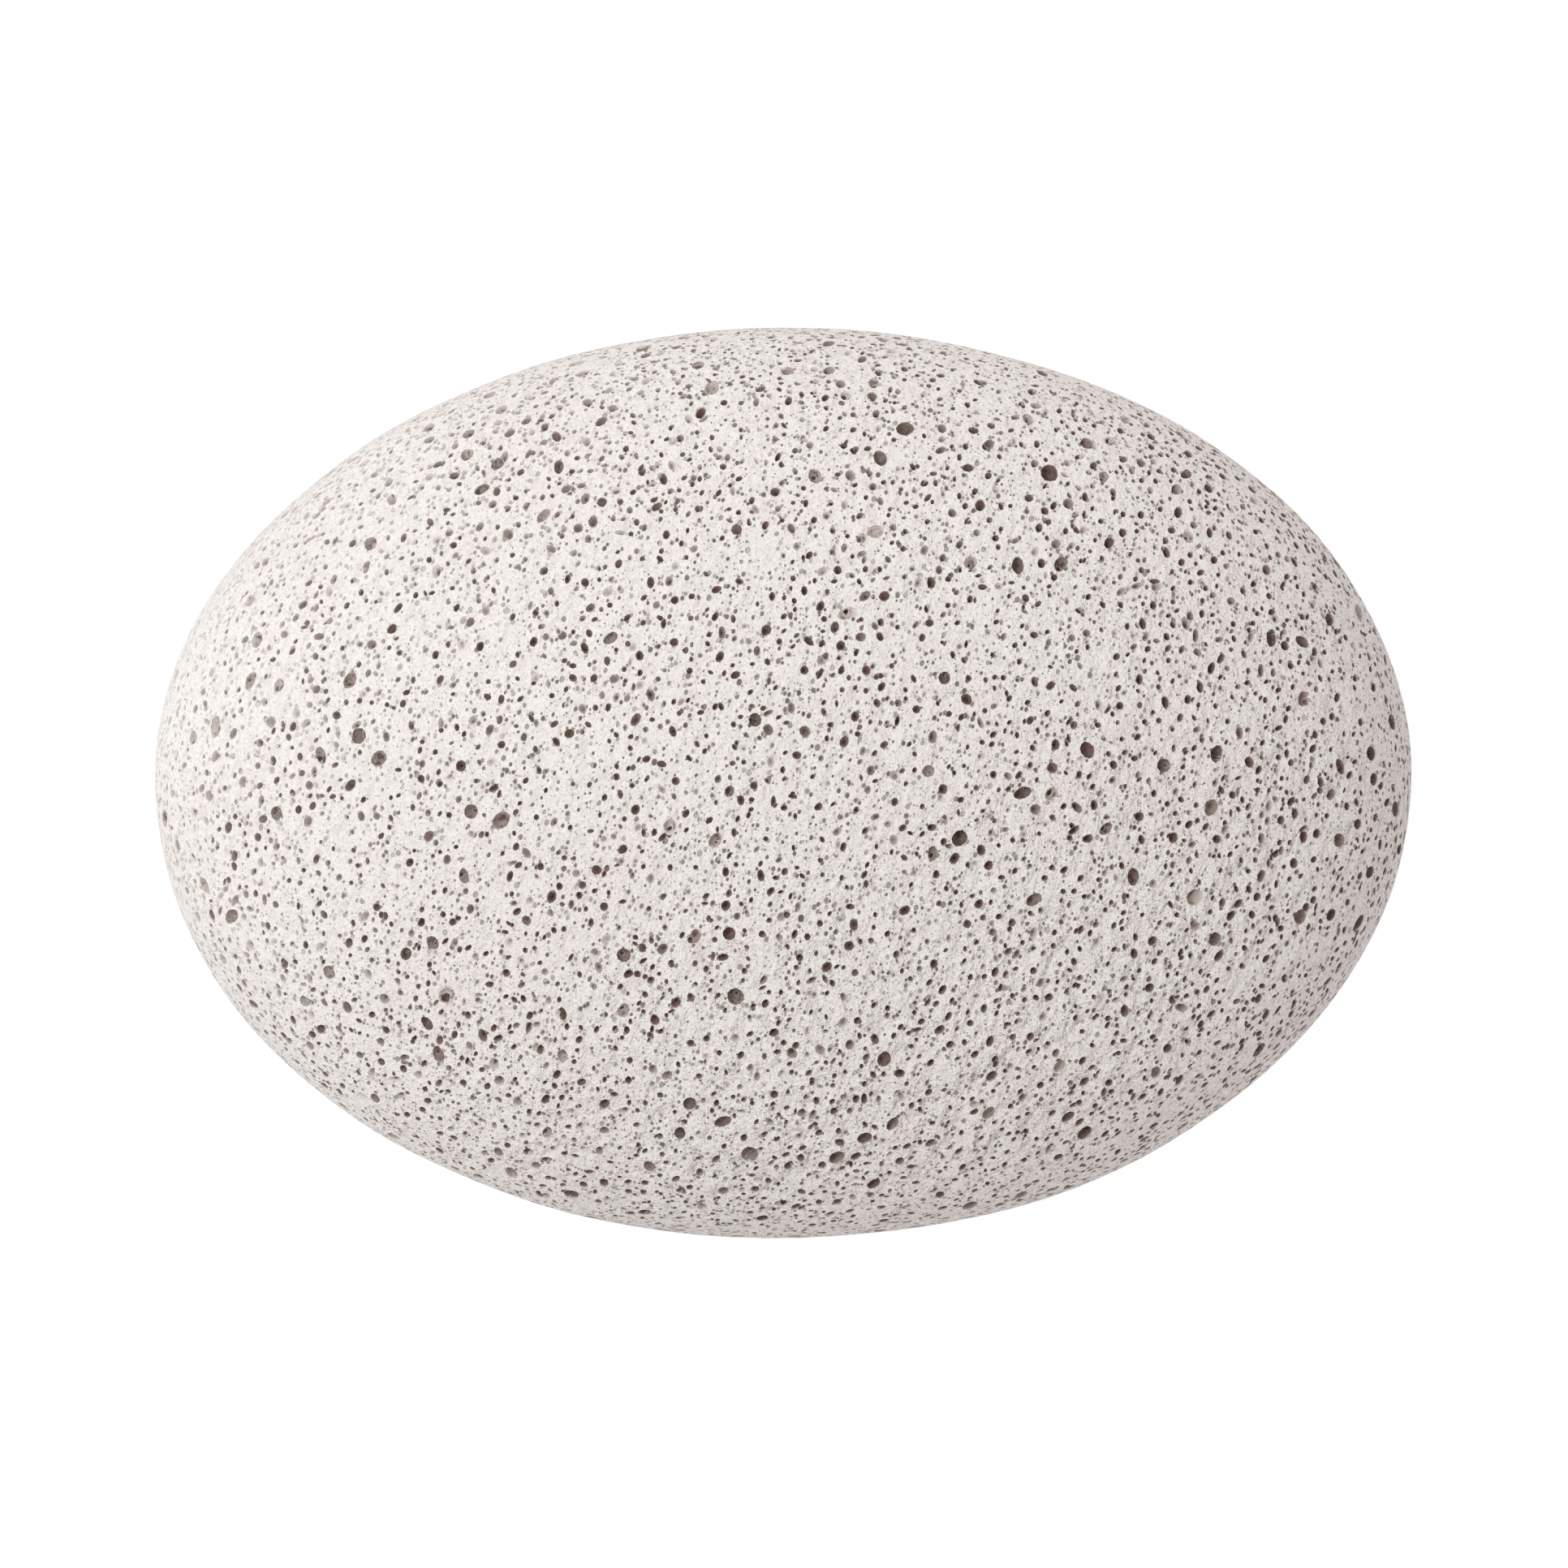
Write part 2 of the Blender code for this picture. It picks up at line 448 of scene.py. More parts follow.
@dataclass
class BubbleShape:
    """One shape of bubble, which is stretched and bent into every pore of its size.

    Attributes:
        least_width: The narrowest pore that it is used for.
        sides: Sides round the mouth.
        rings: Rings from pole to pole, or 0 for a plain pointed pit.
        lift: How far the bubble's middle lies above the surface, of its radius: for a deep
            pore, and for a shallow one.
        depth: How much deeper it is than it is wide: for a shallow pore, and for a deep one.
        wobble: How far a point may stand off the true bubble, of its radius.
        stands_out: How far a plain pit stands out of the surface, of its radius.
    """

    least_width: float
    sides: int
    rings: int
    lift: tuple[float, float]
    depth: tuple[float, float]
    wobble: float
    stands_out: float = 0.3
    mesh: bpy.types.Mesh = field(init=False)
    points: np.ndarray = field(init=False)

    def __post_init__(self) -> None:
        """Make the template mesh, of radius 1."""
        bubble = bmesh.new()
        if self.rings:
            bmesh.ops.create_uvsphere(bubble, u_segments=self.sides, v_segments=self.rings, radius=1.0)
        else:
            full = 1 + self.stands_out
            bmesh.ops.create_cone(
                bubble, cap_ends=True, segments=self.sides, radius1=0.0, radius2=full, depth=full
            )
            sink = (0, 0, (self.stands_out - 1) / 2)
            bmesh.ops.translate(bubble, verts=bubble.verts[:], vec=sink)
        self.mesh = bpy.data.meshes.new("bubble")
        bubble.to_mesh(self.mesh)
        bubble.free()
        self.mesh.attributes.new(PoreMark.TONE.value, "FLOAT", "FACE")
        self.mesh.attributes.new(PoreMark.SUNK.value, "FLOAT", "POINT")
        self.points = read_rows(self.mesh.vertices, "co", np.float32)

    def shaped(
        self, width: float, stretch: float, tone: float, rng: random.Random
    ) -> tuple[np.ndarray, np.ndarray]:
        """Bend the template into one pore, still upright and at the origin.

        Args:
            width: Width of the pore's mouth.
            stretch: Its length over its width.
            tone: 0 for a pale shallow pore, 1 for a dark deep one.
            rng: The pore's own random numbers.

        Returns:
            The points, and how sunk each point is, from 0 to 1.
        """
        lift = self.lift[0] + (self.lift[1] - self.lift[0]) * (1 - tone)
        depth = self.depth[0] + (self.depth[1] - self.depth[0]) * tone
        off = 1 + self.wobble * np.array([rng.uniform(-1, 1) for _ in self.points])
        points = self.points * off[:, None]
        radius = width / 2 / math.sqrt(1 - lift * lift)
        points *= (radius * math.sqrt(stretch), radius / math.sqrt(stretch), radius * depth)
        points[:, 2] += lift * radius * depth
        sunk = np.clip(points[:, 2] / points[:, 2].min(), 0.0, 1.0)
        return points, sunk

    def discard(self) -> None:
        """Remove the template mesh."""
        bpy.data.meshes.remove(self.mesh)


@dataclass
class PoreCutters:
    """The bubbles that are cut out of the pebble.

    Attributes:
        flow_spread: How far a pore may turn away from the froth's flow.
        lean: How far a bubble may lean.
        flare: How much wider the ground rims are than the law's bubbles.
        stretch: The shortest and the longest bubble, as its length over its width.
        scoop_stretch: The same for the scoops.
        tone_powers: For each sort of pore, under 1 for more deep dark ones and over 1 for
            more shallow pale ones.
        wide: Bubbles wider than this are open and shallow for their width.
        wide_tone: How deep they are for that.
        lit_paling: How much paler, in painted light, and shallower pores are that face the lit side
            full on.
        shade_darkening: How much lower the powers are for pores that face away from it full on: they
            are painted darker, as painted shade, and cut deeper.
        plain_facing: Pores that face further down than this are cut by the plainest shape.
    """

    flow_spread: float = math.radians(32)
    lean: float = math.radians(9)
    flare: float = 1.03
    stretch: tuple[float, float] = (1.0, 1.7)
    scoop_stretch: tuple[float, float] = (1.1, 2.4)
    tone_powers: dict[PoreKind, float] = field(
        default_factory=lambda: {PoreKind.BUBBLE: 0.5, PoreKind.SCOOP: 1.4, PoreKind.INNER: 0.25}
    )
    wide: float = 0.95 * MM
    wide_tone: float = 0.72
    lit_paling: float = 0.78
    shade_darkening: float = 0.9
    plain_facing: float = -0.3
    shapes: list[BubbleShape] = field(init=False)

    def __post_init__(self) -> None:
        """Make the three bubble shapes, widest first."""
        self.shapes = [
            BubbleShape(0.98 * MM, 10, 6, (-0.20, 0.38), (1.0, 1.4), 0.08),
            BubbleShape(0.60 * MM, 8, 0, (0.0, 0.0), (0.9, 2.2), 0.10),
            BubbleShape(0.0, 6, 0, (0.0, 0.0), (0.9, 2.2), 0.12),
        ]

    def placement(self, seat: PoreSeat, rng: random.Random) -> Matrix:
        """Place a pore: its Z out of the stone, its X along the flow of the froth.

        Args:
            seat: The pore.
            rng: The pore's own random numbers.

        Returns:
            The pore's place and turn.
        """
        flow = Vector((math.cos(FLOW_ANGLE), math.sin(FLOW_ANGLE), 0))
        along = (flow - seat.normal * flow.dot(seat.normal)).normalized()
        turn = Matrix.Rotation(rng.gauss(0, self.flow_spread), 3, seat.normal)
        lean = Matrix.Rotation(rng.uniform(-self.lean, self.lean), 3, along)
        out = lean @ seat.normal
        side = out.cross(turn @ along).normalized()
        axes = Matrix((side.cross(out), side, out)).transposed()
        return Matrix.Translation(seat.point) @ axes.to_4x4()

    def shape_for(self, seat: PoreSeat) -> BubbleShape:
        """The shape that suits a pore's width, or the plainest if it faces down."""
        if seat.normal.z < self.plain_facing:
            return self.shapes[-1]
        return next(shape for shape in self.shapes if seat.width >= shape.least_width)

    def tone_of(self, seat: PoreSeat, rng: random.Random) -> float:
        """Pick how deep and dark a pore is.

        Args:
            seat: The pore.
            rng: The pore's own random numbers.

        Returns:
            From 0, pale and shallow, to 1, dark and deep.
        """
        # Painted light: a pore that faces the key light's side is painted paler and cut shallower, one
        # facing away darker and deeper.
        facing_light = seat.normal.dot(Vector(LIT_SIDE))
        power = self.tone_powers[seat.kind] * (1 + self.shade_darkening * min(0, facing_light))
        tone = rng.random() ** power
        if seat.width > self.wide:
            tone *= self.wide_tone
        return tone * (1 - self.lit_paling * max(0, facing_light))

    def add(self, cutters: bmesh.types.BMesh, seat: PoreSeat) -> None:
        """Add one pore's bubble.

        Args:
            cutters: The mesh that takes it.
            seat: The pore.
        """
        rng = random.Random(seat.rank)
        place = self.placement(seat, rng)
        drawn = self.scoop_stretch if seat.kind is PoreKind.SCOOP else self.stretch
        stretch = rng.uniform(*drawn)
        tone = self.tone_of(seat, rng)
        shape = self.shape_for(seat)
        points, sunk = shape.shaped(seat.width * self.flare, stretch, tone, rng)
        points = points @ np.array(place.to_3x3()).T + np.array(place.translation)
        mesh = shape.mesh
        tones = np.full(len(mesh.polygons), tone)
        mesh.vertices.foreach_set("co", points.astype(np.float32).ravel())
        mesh.attributes[PoreMark.SUNK.value].data.foreach_set("value", sunk)
        mesh.attributes[PoreMark.TONE.value].data.foreach_set("value", tones)
        cutters.from_mesh(mesh)

    def build(self, seats: list[PoreSeat]) -> bpy.types.Object:
        """Make one layer's bubbles as one mesh of separate closed shells.

        Args:
            seats: The layer's pores.

        Returns:
            The cutter object.
        """
        cutters = bmesh.new()
        for seat in seats:
            self.add(cutters, seat)
        for face in cutters.faces:
            face.material_index = Slot.PORE.value
        return new_object("pore_cutters", cutters)

    def discard(self) -> None:
        """Remove the template meshes."""
        for shape in self.shapes:
            shape.discard()


def read_rows(
    items: bpy.types.bpy_prop_collection, name: str, kind: type, size: int = 3
) -> np.ndarray:
    """Read a vector of every item of a mesh.

    Args:
        items: The mesh's vertices, loops or other items.
        name: The vector's name.
        kind: The type of its numbers.
        size: How many numbers it has.

    Returns:
        The vectors, one a row.
    """
    rows = np.empty((len(items), size), kind)
    items.foreach_get(name, rows.ravel())
    return rows


def read_values(items: bpy.types.bpy_prop_collection, name: str) -> np.ndarray:
    """Read a whole number of every item of a mesh."""
    return read_rows(items, name, np.int32, 1)[:, 0]


def new_object(name: str, mesh: bmesh.types.BMesh) -> bpy.types.Object:
    """Turn a bmesh into a linked object, and free it.

    Args:
        name: The object's name.
        mesh: The bmesh.

    Returns:
        The object, at the origin.
    """
    data = bpy.data.meshes.new(name)
    mesh.to_mesh(data)
    mesh.free()
    item = bpy.data.objects.new(name, data)
    bpy.context.collection.objects.link(item)
    return item


# --------------------------------------------------------------------------- finishes


class Wiring:
    """Adds nodes to one node tree and links them."""

    def __init__(self, tree: bpy.types.NodeTree) -> None:
        """Keep the tree that the nodes go in."""
        self.tree = tree

    def add(self, kind: str, inputs: dict | None = None, **settings: object) -> bpy.types.Node:
        """Add a node.

        Args:
            kind: The node's type, without its ShaderNode prefix.
            inputs: A value or a socket for each input, by its name or place.
            settings: The node's own settings.

        Returns:
            The node.
        """
        node = self.tree.nodes.new(f"ShaderNode{kind}")
        for name, value in settings.items():
            setattr(node, name, value)
        for key, value in (inputs or {}).items():
            self.feed(node.inputs[key], value)
        return node

    def feed(self, entry: bpy.types.NodeSocket, value: object) -> None:
        """Give a node's input a value, or link a socket to it.

        Args:
            entry: The input.
            value: The value or the socket.
        """
        if isinstance(value, bpy.types.NodeSocket):
            self.tree.links.new(value, entry)
        else:
            entry.default_value = value

    def sum(self, *terms: object) -> bpy.types.NodeSocket:
        """Add up numbers or sockets.

        Args:
            terms: Two or more numbers or sockets.

        Returns:
            The socket that holds the sum.
        """
        total = terms[0]
        for term in terms[1:]:
            total = self.add("Math", {0: total, 1: term}, operation="ADD").outputs[0]
        return total

    def times(self, one: object, other: object) -> bpy.types.NodeSocket:
        """The socket that holds the product of two numbers or sockets."""
        return self.add("Math", {0: one, 1: other}, operation="MULTIPLY").outputs[0]

    def ramp(
        self, value: object, low: float, high: float, start: float = 0.0, end: float = 1.0
    ) -> bpy.types.NodeSocket:
        """Carry a value smoothly from one range to another.

        Args:
            value: The number or socket.
            low: Where the step starts.
            high: Where the step ends.
            start: What it gives at or below low.
            end: What it gives at or above high.

        Returns:
            The socket that holds the result.
        """
        inputs = {"Value": value, "From Min": low, "From Max": high, "To Min": start, "To Max": end}
        return self.add("MapRange", inputs, interpolation_type="SMOOTHSTEP").outputs["Result"]

    def mix(self, share: object, one: object, other: object) -> bpy.types.NodeSocket:
        """Mix two colours.

        Args:
            share: How much of the other colour.
            one: A colour or a socket.
            other: A colour or a socket.

        Returns:
            The socket that holds the mixed colour.
        """
        return self.add("Mix", {0: share, 6: one, 7: other}, data_type="RGBA").outputs[2]

    def noise(self, place: object, scale: float, detail: float) -> bpy.types.NodeSocket:
        """Lay a noise.

        Args:
            place: The socket that holds the coordinates.
            scale: Its scale, for coordinates in metres.
            detail: How many finer noises it adds.

        Returns:
            The socket that holds it, from 0 to 1.
        """
        inputs = {"Vector": place, "Scale": scale, "Detail": detail}
        return self.add("TexNoise", inputs).outputs["Fac"]

    def chalk(self, colour: object, height: object) -> None:
        """Give a material's shader its colour and relief, and make it dry and matte.

        Args:
            colour: The socket that holds the colour.
            height: The socket that holds the relief, in millimetres.
        """
        shader = self.tree.nodes["Principled BSDF"]
        bump = self.add("Bump", {"Height": height, "Distance": MM, "Strength": 1.0})
        self.feed(shader.inputs["Base Color"], colour)
        self.feed(shader.inputs["Normal"], bump.outputs["Normal"])
        self.feed(shader.inputs["Roughness"], CHALK_ROUGHNESS)
        self.feed(shader.inputs["Specular IOR Level"], CHALK_SHINE)


class StoneEffect:
    """A pattern that both finishes of the stone use, kept as a node group."""

    name = "effect"
    ins: tuple[tuple[str, str], ...] = (("Vector", "NodeSocketVector"),)
    outs: tuple[tuple[str, str], ...] = (("Value", "NodeSocketFloat"),)

    def group(self) -> bpy.types.NodeTree:
        """Make the node group, or find it.

        Returns:
            The group.
        """
        found = bpy.data.node_groups.get(self.name)
        if found:
            return found
        tree = bpy.data.node_groups.new(self.name, "ShaderNodeTree")
        for name, kind in self.ins:
            tree.interface.new_socket(name, in_out="INPUT", socket_type=kind)
        for name, kind in self.outs:
            tree.interface.new_socket(name, in_out="OUTPUT", socket_type=kind)
        entry = tree.nodes.new("NodeGroupInput")
        leave = tree.nodes.new("NodeGroupOutput")
        for name, socket in self.wire(Wiring(tree), entry.outputs).items():
            tree.links.new(socket, leave.inputs[name])
        return tree

    def wire(self, wiring: Wiring, entry: bpy.types.NodeOutputs) -> dict[str, bpy.types.NodeSocket]:
        """Lay the group's nodes.

        Args:
            wiring: Adds nodes to the group.
            entry: The group's inputs.

        Returns:
            A socket for each output, by name.
        """
        raise NotImplementedError

    def use(self, wiring: Wiring, inputs: dict) -> bpy.types.NodeOutputs:
        """Place the group in a material.

        Args:
            wiring: Adds nodes to the material.
            inputs: A value or a socket for each of the group's inputs.

        Returns:
            The group's outputs.
        """
        node = wiring.tree.nodes.new("ShaderNodeGroup")
        node.node_tree = self.group()
        for name, value in inputs.items():
            wiring.feed(node.inputs[name], value)
        return node.outputs


class FlowLines(StoneEffect):
    """Coordinates drawn out along the way the froth flowed."""

    name = "along_the_flow"
    ins = (("Vector", "NodeSocketVector"), ("Stretch", "NodeSocketVector"))
    outs = (("Vector", "NodeSocketVector"),)

    def wire(self, wiring: Wiring, entry: bpy.types.NodeOutputs) -> dict[str, bpy.types.NodeSocket]:
        """Turn the flow to X and shrink X, so that a pattern on it is stretched."""
        turned = wiring.add(
            "Mapping",
            {"Vector": entry["Vector"], "Rotation": (0, 0, FLOW_ANGLE), "Scale": entry["Stretch"]},
            vector_type="TEXTURE",
        )
        return {"Vector": turned.outputs["Vector"]}


class Grain(StoneEffect):
    """The crisp grain of broken bubble walls, as a height in millimetres and a mottle.

    Attributes:
        fine: Scale and height of the fine noise.
        fine_roughness: How strong its finer parts are.
        coarse: Scale and height of the coarser noise.
        detail: How many finer noises each of them adds.
    """

    fine = (4000.0, 0.25)
    fine_roughness = 0.65
    coarse = (1300.0, 0.10)
    detail = 2.0

    name = "stone_grain"
    ins = (("Vector", "NodeSocketVector"),)
    outs = (("Height", "NodeSocketFloat"), ("Mottle", "NodeSocketFloat"))

    def wire(self, wiring: Wiring, entry: bpy.types.NodeOutputs) -> dict[str, bpy.types.NodeSocket]:
        """Lay a fine noise over a coarser one."""
        place = entry["Vector"]
        fine = wiring.noise(place, self.fine[0], self.detail)
        wiring.feed(fine.node.inputs["Roughness"], self.fine_roughness)
        coarse = wiring.noise(place, self.coarse[0], self.detail)
        height = wiring.sum(wiring.times(fine, self.fine[1]), wiring.times(coarse, self.coarse[1]))
        return {"Height": height, "Mottle": fine}


class Pinholes(StoneEffect):
    """Pores too fine to cut, as a mask: 1 in a hole, 0 on the land between.

    Attributes:
        rim: Where the mask starts and ends, in from a hole's edge.
        shades: How dark the palest and the darkest holes are.
    """

    rim = (-0.02, 0.06)
    shades = (0.45, 1.0)

    name = "pinholes"
    ins = (
        ("Vector", "NodeSocketVector"),
        ("Scale", "NodeSocketFloat"),
        ("Least", "NodeSocketFloat"),
        ("Radius", "NodeSocketFloat"),
    )
    outs = (("Mask", "NodeSocketFloat"), ("Shade", "NodeSocketFloat"))

    def wire(self, wiring: Wiring, entry: bpy.types.NodeOutputs) -> dict[str, bpy.types.NodeSocket]:
        """Open a round hole at some of a Voronoi pattern's points, each with its own size."""
        cells = wiring.add("TexVoronoi", {"Vector": entry["Vector"], "Scale": entry["Scale"]})
        picked = wiring.add("SeparateColor", {"Color": cells.outputs["Color"]})
        size = wiring.add(
            "MapRange",
            {"Value": picked.outputs["Red"], "From Min": entry["Least"], "To Max": entry["Radius"]},
        )
        inside = wiring.add(
            "Math", {0: size.outputs["Result"], 1: cells.outputs["Distance"]}, operation="SUBTRACT"
        )
        mask = wiring.ramp(inside.outputs[0], *self.rim)
        shade = wiring.times(mask, wiring.ramp(picked.outputs["Green"], 0.0, 1.0, *self.shades))
        return {"Mask": mask, "Shade": shade}


@dataclass(frozen=True)
class HoleSize:
    """One size of the pores too fine to cut.

    Attributes:
        scale: Scale of their pattern, for coordinates in metres.
        least: The share of the pattern's points that have none.
        radius: Radius of the widest, of the pattern's spacing.
        shade: How dark they are.
        drop: How deep they are, in millimetres.
        drawn: Whether they are drawn out a little along the flow.
    """

    scale: float
    least: float
    radius: float
    shade: float
    drop: float
    drawn: bool

    @property
    def inputs(self) -> dict[str, float]:
        """What the pinhole pattern is given for this size."""
        return {"Scale": self.scale, "Least": self.least, "Radius": self.radius}


@dataclass(frozen=True)
class SkinFinish:
    """The chalky ground skin of the stone between its pores, ground less on one side.

    Attributes:
        white: The bare stone.
        blush: Its faintly pink patches.
        hollow_shade: Painted shade in the hollows of the streaks and the grain.
        pinhole: The inside of the finest pores, which have no depth but a bump: partly their own
        brown, partly painted shade.
        rough_side: Unit direction of the side that was ground less.
        coarseness: How coarse the grain is, along the rough side's direction.
        swell: How strong the soft relief is, along the same direction.
        lit_pinhole_fade: How much of the finest pores shows, less towards the lit side: they are
        painted paler there, as painted light.
        long_draw: How far the streaks are drawn out along the flow.
        short_draw: The same for the relief and the pinholes.
        patches: Scale and detail of the blush.
        blushing: How much of the blush a patch shows.
        streaks: Scale and detail of the streaks.
        streak_shading: How much painted shade a streak's hollow takes.
        streak_drop: How deep a streak is, in millimetres.
        relief: Scale and detail of the soft relief.
        grain_shading: How much painted shade the grain's hollows take.
        holes: The sizes of the finest pores, in the order that they are laid.
    """

    white: Colour = (0.900, 0.868, 0.847, 1)
    blush: Colour = (0.860, 0.803, 0.780, 1)
    hollow_shade: Colour = (0.56, 0.498, 0.476, 1)
    pinhole: Colour = (0.10, 0.070, 0.060, 1)
    rough_side: tuple[float, float, float] = (0.5, -0.866, 0.0)
    coarseness: Ramp = (-0.030, 0.030, 0.72, 1.5)
    swell: Ramp = (-0.004, 0.034, 0.55, 1.9)
    lit_pinhole_fade: Ramp = (0.015, 0.046, 1.0, 0.35)
    long_draw: float = 2.6
    short_draw: float = 1.35
    patches: tuple[float, float] = (75.0, 3.0)
    blushing: Ramp = (0.38, 0.68, 0.22, 0.56)
    streaks: tuple[float, float] = (1500.0, 4.0)
    streak_shading: Ramp = (0.50, 0.68, 0.0, 0.24)
    streak_drop: float = 0.21
    relief: tuple[float, float] = (620.0, 2.0)
    grain_shading: Ramp = (0.56, 0.36, 0.0, 0.30)
    holes: tuple[HoleSize, ...] = (
        HoleSize(4300.0, 0.55, 0.44, shade=0.62, drop=0.0, drawn=False),
        HoleSize(2600.0, 0.15, 0.44, shade=0.90, drop=0.06, drawn=True),
        HoleSize(1500.0, 0.30, 0.32, shade=0.92, drop=0.10, drawn=True),
    )

    def along(self, wiring: Wiring, place: object, side: tuple, ramp: Ramp) -> bpy.types.NodeSocket:
        """Carry how far a place lies towards one side of the stone to another range.

        Args:
            wiring: Adds nodes to the material.
            place: The socket that holds the coordinates.
            side: Unit direction of the side.
            ramp: The ranges.

        Returns:
            The socket that holds the result.
        """
        along = wiring.add("VectorMath", {0: place, 1: side}, operation="DOT_PRODUCT")
        return wiring.ramp(along.outputs["Value"], *ramp)

    def build(self) -> bpy.types.Material:
        """Make the material.

        Returns:
            The material.
        """
        material = bpy.data.materials.new("pumice_skin")
        material.use_nodes = True
        wiring = Wiring(material.node_tree)
        place = wiring.add("TexCoord").outputs["Object"]
        long, short = (
            FlowLines().use(wiring, {"Vector": place, "Stretch": (draw, 1, 1)})["Vector"]
            for draw in (self.long_draw, self.short_draw)
        )
        grain = Grain().use(wiring, {"Vector": place})
        coarseness = self.along(wiring, place, self.rough_side, self.coarseness)
        swell = self.along(wiring, place, self.rough_side, self.swell)
        # Painted light: the finest pores are painted paler towards the side where the key light falls.
        lit_pinhole_fade = self.along(wiring, place, LIT_SIDE, self.lit_pinhole_fade)
        patch = wiring.noise(place, *self.patches)
        streak = wiring.noise(long, *self.streaks)
        relief = wiring.noise(short, *self.relief)
        colour = wiring.mix(wiring.ramp(patch, *self.blushing), self.white, self.blush)
        # Painted shade: darker where the streaks and the grain sink.
        colour = wiring.mix(wiring.ramp(streak, *self.streak_shading), colour, self.hollow_shade)
        colour = wiring.mix(wiring.ramp(grain["Mottle"], *self.grain_shading), colour, self.hollow_shade)
        crisp = wiring.sum(grain["Height"], wiring.times(streak, -self.streak_drop))
        height = wiring.sum(wiring.times(crisp, coarseness), wiring.times(relief, swell))
        # The finest pores are painted dark: partly their own brown, partly painted shade, as they aren't
        # cut.
        for size in self.holes:
            holes = Pinholes().use(wiring, {"Vector": short if size.drawn else place, **size.inputs})
            share = wiring.times(wiring.times(holes["Shade"], size.shade), lit_pinhole_fade)
            colour = wiring.mix(share, colour, self.pinhole)
            if size.drop:
                height = wiring.sum(height, wiring.times(holes["Mask"], -size.drop))
        wiring.chalk(colour, height)
        return material


@dataclass(frozen=True)
class PoreFinish:
    """The open bubbles' walls and floors: pale where shallow, dark brown and painted shade where deep.

    Attributes:
        pale_wall: The wall of a shallow pore.
        dark_wall: The wall of a deep one: partly its own brown, partly painted shade.
        pale_floor: The floor of a shallow pore.
        dark_floor: The floor of a deep one: partly its own brown, partly painted shade.
        hollow: Painted shade: near-black blotches on the floor for smaller bubbles opening there.
        darkening: How dark a pore of each tone is.
        deepening: How much of that its wall shows, from the rim down: painted shade deepening inwards.
        floor_reach: How far down the wall ends and the floor begins.
        blotches: Scale and detail of the hollows.
        hollowing: How much of that painted shade a blotch shows.
        grain_paling: How much paler the grain's raised parts are.
    """

    pale_wall: Colour = (0.80, 0.735, 0.705, 1)
    dark_wall: Colour = (0.170, 0.105, 0.088, 1)
    pale_floor: Colour = (0.62, 0.530, 0.495, 1)
    dark_floor: Colour = (0.195, 0.125, 0.104, 1)
    hollow: Colour = (0.080, 0.050, 0.042, 1)
    darkening: Ramp = (0.0, 0.8, 0.0, 1.0)
    deepening: Ramp = (0.0, 0.20, 0.40, 1.0)
    floor_reach: tuple[float, float] = (0.20, 0.70)
    blotches: tuple[float, float] = (1700.0, 1.0)
    hollowing: Ramp = (0.50, 0.66, 0.0, 0.75)
    grain_paling: Ramp = (0.45, 0.70, 0.0, 0.18)

    def build(self) -> bpy.types.Material:
        """Make the material.

        Returns:
            The material.
        """
        material = bpy.data.materials.new("pumice_pore")
        material.use_nodes = True
        wiring = Wiring(material.node_tree)
        place = wiring.add("TexCoord").outputs["Object"]
        tone, sunk = (
            wiring.add("Attribute", attribute_name=mark.value).outputs["Fac"] for mark in PoreMark
        )
        grain = Grain().use(wiring, {"Vector": place})
        blotch = wiring.noise(place, *self.blotches)
        # Partly the pores' own brown, partly painted shade: a point is painted darker the deeper it is
        # sunk.
        darkness = wiring.times(wiring.ramp(tone, *self.darkening), wiring.ramp(sunk, *self.deepening))
        wall = wiring.mix(darkness, self.pale_wall, self.dark_wall)
        floor = wiring.mix(darkness, self.pale_floor, self.dark_floor)
        # Painted shade: near-black blotches stand for smaller bubbles that open in the floor.
        floor = wiring.mix(wiring.ramp(blotch, *self.hollowing), floor, self.hollow)
        colour = wiring.mix(wiring.ramp(sunk, *self.floor_reach), wall, floor)
        # Paler where the grain rises.
        colour = wiring.mix(wiring.ramp(grain["Mottle"], *self.grain_paling), colour, self.pale_floor)
        wiring.chalk(colour, grain["Height"])
        return material


# --------------------------------------------------------------------------- the stone


@dataclass(frozen=True)
class Chart:
    """One side of the stone, laid flat on its own part of the UV square.

    Attributes:
        axis: The axis that the side faces along, 0 for X to 2 for Z.
        sign: 1 if it faces up the axis, -1 if it faces down it.
        corner: The part's lowest corner in the UV square.
        size: The part's width and height in the UV square.
    """

    axis: int
    sign: int
    corner: tuple[float, float]
    size: tuple[float, float]

    def place(self, points: np.ndarray, low: np.ndarray, high: np.ndarray) -> np.ndarray:
        """Lay points on the chart.

        Args:
            points: The points, one a row.
            low: Lowest corner of the stone's box.
            high: Its highest corner.

        Returns:
            Their UV places, one a row.
        """
        across, up = (axis for axis in range(3) if axis != self.axis)
        share = (points - low) / (high - low)
        return np.array(self.corner) + share[:, (across, up)] * self.size


CHARTS = (
    Chart(2, 1, (0.005, 0.405), (0.990, 0.590)),
    Chart(2, -1, (0.005, 0.205), (0.490, 0.190)),
    Chart(0, 1, (0.505, 0.205), (0.240, 0.190)),
    Chart(0, -1, (0.755, 0.205), (0.240, 0.190)),
    Chart(1, 1, (0.005, 0.005), (0.490, 0.190)),
    Chart(1, -1, (0.505, 0.005), (0.490, 0.190)),
)


